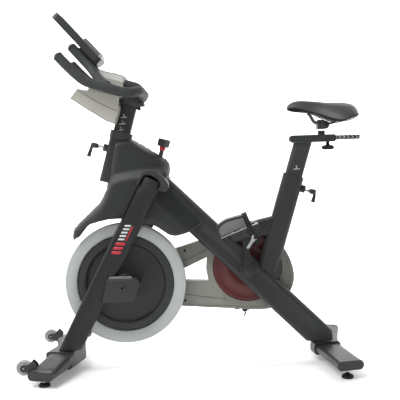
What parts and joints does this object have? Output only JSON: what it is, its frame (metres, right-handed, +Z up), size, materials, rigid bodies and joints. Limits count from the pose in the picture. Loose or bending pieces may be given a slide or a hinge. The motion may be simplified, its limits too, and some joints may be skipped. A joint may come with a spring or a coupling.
{
  "type": "indoor spin bike",
  "caption": "Upright indoor cycling bike with a belt-driven flywheel between slanted fork legs, adjustable saddle and handlebar posts, twin-level grips, tray and tablet holder.",
  "frame": {"origin": "centre of the bounding box on the floor plane under the feet", "axes": "+X from the handlebars to the saddle (towards the rear), +Y to the rider's right, +Z up"},
  "size_m": [1.2005, 0.5474, 1.2614],
  "materials": {
    "frame_coat": "satin charcoal powder coat",
    "black_plastic": "fine textured moulded plastic",
    "black_rubber": "matte moulded rubber",
    "bright_steel": "bright zinc plate",
    "flywheel_ring": "pale silver paint on turned steel",
    "dark_metal": "satin black paint",
    "cover_grey": "warm grey moulded plastic",
    "disc_red": "dark red plastic",
    "tray_grey": "light grey moulded plastic",
    "saddle_vinyl": "satin black vinyl over foam",
    "wheel_grey": "pale grey plastic wheel"
  },
  "bodies": {
    "frame": {"main_beam": "frame_coat", "head_tube": "frame_coat", "seat_tube": "frame_coat", "frame_brace": "frame_coat", "fork_crown": "frame_coat", "fork_leg_left": "frame_coat", "fork_leg_right": "frame_coat", "axle_bracket_left": "frame_coat", "axle_bracket_right": "frame_coat", "front_stabilizer": "frame_coat", "rear_stabilizer": "frame_coat", "front_stabilizer_cover": "black_plastic", "rear_stabilizer_cover": "black_plastic", "front_end_cap_left": "black_plastic", "front_end_cap_right": "black_plastic", "rear_end_cap_left": "black_plastic", "rear_end_cap_right": "black_plastic", "flywheel_axle": "bright_steel", "bottom_bracket": "dark_metal", "drive_belt": "black_rubber", "belt_cover_inner": "cover_grey", "belt_cover_outer": "cover_grey", "belt_cover_disc": "disc_red", "shroud_left": "black_plastic", "shroud_right": "black_plastic"},
    "flywheel": {"flywheel_rim": "flywheel_ring", "flywheel_disc": "dark_metal"},
    "crank": {"crank_axle": "bright_steel", "crank_pulley": "dark_metal", "crank_arm_left": "dark_metal", "crank_arm_right": "dark_metal"},
    "pedal_unit_left": {"pedal_left": "dark_metal", "toe_cage_left": "black_plastic"},
    "pedal_unit_right": {"pedal_right": "dark_metal", "toe_cage_right": "black_plastic"},
    "seat_post_unit": {"seat_post": "frame_coat", "seat_slide_housing": "frame_coat"},
    "seat_slider": {"seat_slide_bar": "frame_coat"},
    "saddle_unit": {"saddle": "saddle_vinyl", "saddle_rails": "bright_steel", "saddle_clamp": "dark_metal"},
    "slide_knob": {"seat_slide_knob": "black_rubber"},
    "seat_lever": {"seat_lock_lever": "bright_steel"},
    "handlebar_lever": {"handlebar_lock_lever": "bright_steel"},
    "handlebar_unit": {"handlebar_post": "frame_coat", "handlebar_loop": "black_rubber", "aero_bars": "black_rubber", "accessory_tray": "tray_grey"},
    "tablet_unit": {"tablet_holder": "black_plastic", "console": "black_plastic"},
    "brake_unit": {"brake_rod": "bright_steel", "brake_pad": "black_rubber"},
    "resistance_knob_unit": {"resistance_knob": "black_rubber"},
    "transport_wheel_unit_left": {"transport_wheel_left": "wheel_grey"},
    "transport_wheel_unit_right": {"transport_wheel_right": "wheel_grey"},
    "front_foot_unit_left": {"front_foot_left": "black_rubber"},
    "front_foot_unit_right": {"front_foot_right": "black_rubber"},
    "rear_foot_unit_left": {"rear_foot_left": "black_rubber"},
    "rear_foot_unit_right": {"rear_foot_right": "black_rubber"}
  },
  "joints": [
    {"name": "flywheel_spin", "type": "hinge", "parent": "frame", "child": "flywheel", "pos_m": [-0.24725, 0, 0.3], "axis": [0, 1, 0], "continuous": true},
    {"name": "crank_spin", "type": "hinge", "parent": "frame", "child": "crank", "pos_m": [0.19275, 0, 0.338], "axis": [0, 1, 0], "continuous": true},
    {"name": "pedal_left_spin", "type": "hinge", "parent": "crank", "child": "pedal_unit_left", "pos_m": [0.18181, -0.15, 0.4876], "axis": [0, 1, 0], "continuous": true},
    {"name": "pedal_right_spin", "type": "hinge", "parent": "crank", "child": "pedal_unit_right", "pos_m": [0.20369, 0.15, 0.1884], "axis": [0, 1, 0], "continuous": true},
    {"name": "seat_height", "type": "slide", "parent": "frame", "child": "seat_post_unit", "axis": [0.2924, 0, 0.9563], "range_m": [-0.09, 0.08]},
    {"name": "seat_fore_aft", "type": "slide", "parent": "seat_post_unit", "child": "seat_slider", "axis": [1, 0, 0], "range_m": [-0.06, 0.03]},
    {"name": "saddle_tilt", "type": "hinge", "parent": "seat_slider", "child": "saddle_unit", "pos_m": [0.46975, 0, 0.8435], "axis": [0, 1, 0], "range_deg": [-8, 8]},
    {"name": "slide_knob_turn", "type": "hinge", "parent": "seat_post_unit", "child": "slide_knob", "pos_m": [0.48975, 0, 0.77], "axis": [0, 0, 1], "continuous": true},
    {"name": "seat_lever_turn", "type": "hinge", "parent": "frame", "child": "seat_lever", "pos_m": [0.41175, 0, 0.6127], "axis": [0.9565, 0, -0.2916], "continuous": true},
    {"name": "handlebar_height", "type": "slide", "parent": "frame", "child": "handlebar_unit", "axis": [0.2756, 0, 0.9613], "range_m": [-0.02, 0.05]},
    {"name": "handlebar_lever_turn", "type": "hinge", "parent": "frame", "child": "handlebar_lever", "pos_m": [-0.31925, 0, 0.7918], "axis": [-0.9614, 0, 0.275], "continuous": true},
    {"name": "tablet_tilt", "type": "hinge", "parent": "handlebar_unit", "child": "tablet_unit", "pos_m": [-0.33169, 0, 1.08342], "axis": [0, 1, 0], "range_deg": [0, 20]},
    {"name": "brake_press", "type": "slide", "parent": "frame", "child": "brake_unit", "axis": [-0.2756, 0, -0.9613], "range_m": [0, 0.003], "stiffness_N_per_m": 6000, "springref_m": -0.002},
    {"name": "resistance_turn", "type": "hinge", "parent": "brake_unit", "child": "resistance_knob_unit", "pos_m": [-0.09325, 0, 0.796], "axis": [0.2756, 0, 0.9613], "continuous": true},
    {"name": "transport_wheel_left_spin", "type": "hinge", "parent": "frame", "child": "transport_wheel_unit_left", "pos_m": [-0.57425, -0.218, 0.06], "axis": [0, 1, 0], "continuous": true},
    {"name": "transport_wheel_right_spin", "type": "hinge", "parent": "frame", "child": "transport_wheel_unit_right", "pos_m": [-0.57425, 0.218, 0.06], "axis": [0, 1, 0], "continuous": true},
    {"name": "front_foot_left_turn", "type": "hinge", "parent": "frame", "child": "front_foot_unit_left", "pos_m": [-0.50442, -0.236, 0.01], "axis": [0, 0, 1], "continuous": true},
    {"name": "front_foot_right_turn", "type": "hinge", "parent": "frame", "child": "front_foot_unit_right", "pos_m": [-0.50442, 0.236, 0.01], "axis": [0, 0, 1], "continuous": true},
    {"name": "rear_foot_left_turn", "type": "hinge", "parent": "frame", "child": "rear_foot_unit_left", "pos_m": [0.50188, -0.236, 0.01], "axis": [0, 0, 1], "continuous": true},
    {"name": "rear_foot_right_turn", "type": "hinge", "parent": "frame", "child": "rear_foot_unit_right", "pos_m": [0.50188, 0.236, 0.01], "axis": [0, 0, 1], "continuous": true}
  ],
  "couplings": [
    {"joint": "crank_spin", "follows": "flywheel_spin", "ratio": 0.32692}
  ]
}
